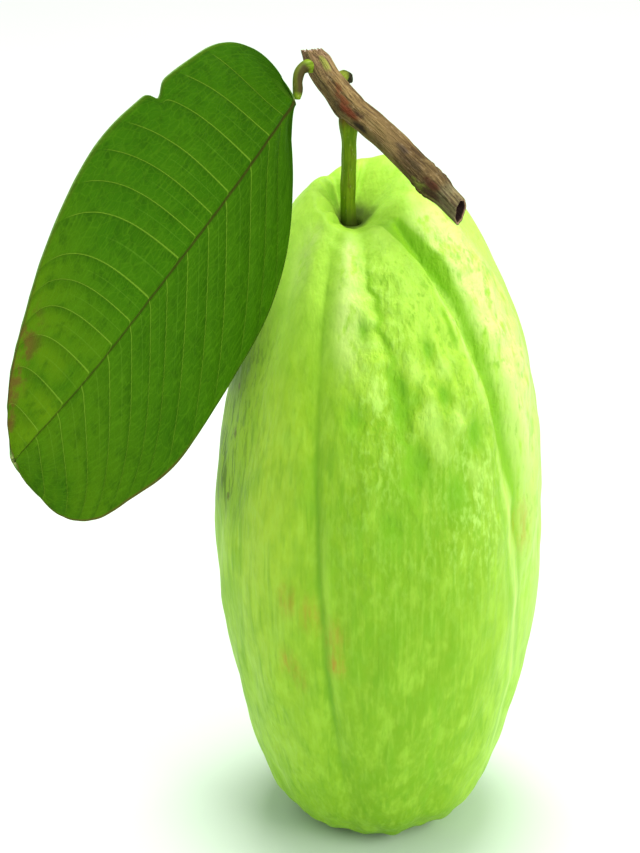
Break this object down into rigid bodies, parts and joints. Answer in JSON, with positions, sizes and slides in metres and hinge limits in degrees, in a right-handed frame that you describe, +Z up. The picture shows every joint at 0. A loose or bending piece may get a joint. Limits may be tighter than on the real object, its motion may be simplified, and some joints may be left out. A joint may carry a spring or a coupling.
{
  "type": "guava",
  "caption": "Ribbed green guava standing upright, with its stalk, a short cut twig and one broad leaf.",
  "frame": {"origin": "centre of the small flat spot under the fruit that it stands on, at the dried calyx", "axes": "+Z up the fruit to the stalk, +X to the right and +Y away as the picture looks at it, so the leaf hangs towards -X and -Y"},
  "size_m": [0.0932, 0.097, 0.1631],
  "materials": {
    "fruit_skin": "satin",
    "dried_calyx": "matte",
    "green_stalk": "satin",
    "twig_bark": "matte",
    "bud_scale": "matte",
    "leaf_stalk_skin": "satin",
    "leaf_skin": "satin"
  },
  "bodies": {
    "root": {"fruit": "fruit_skin", "calyx": "dried_calyx", "fruit_stalk": "green_stalk", "twig": "twig_bark", "side_bud": "bud_scale", "leaf_stalk": "leaf_stalk_skin", "leaf_blade": "leaf_skin"}
  },
  "joints": []
}
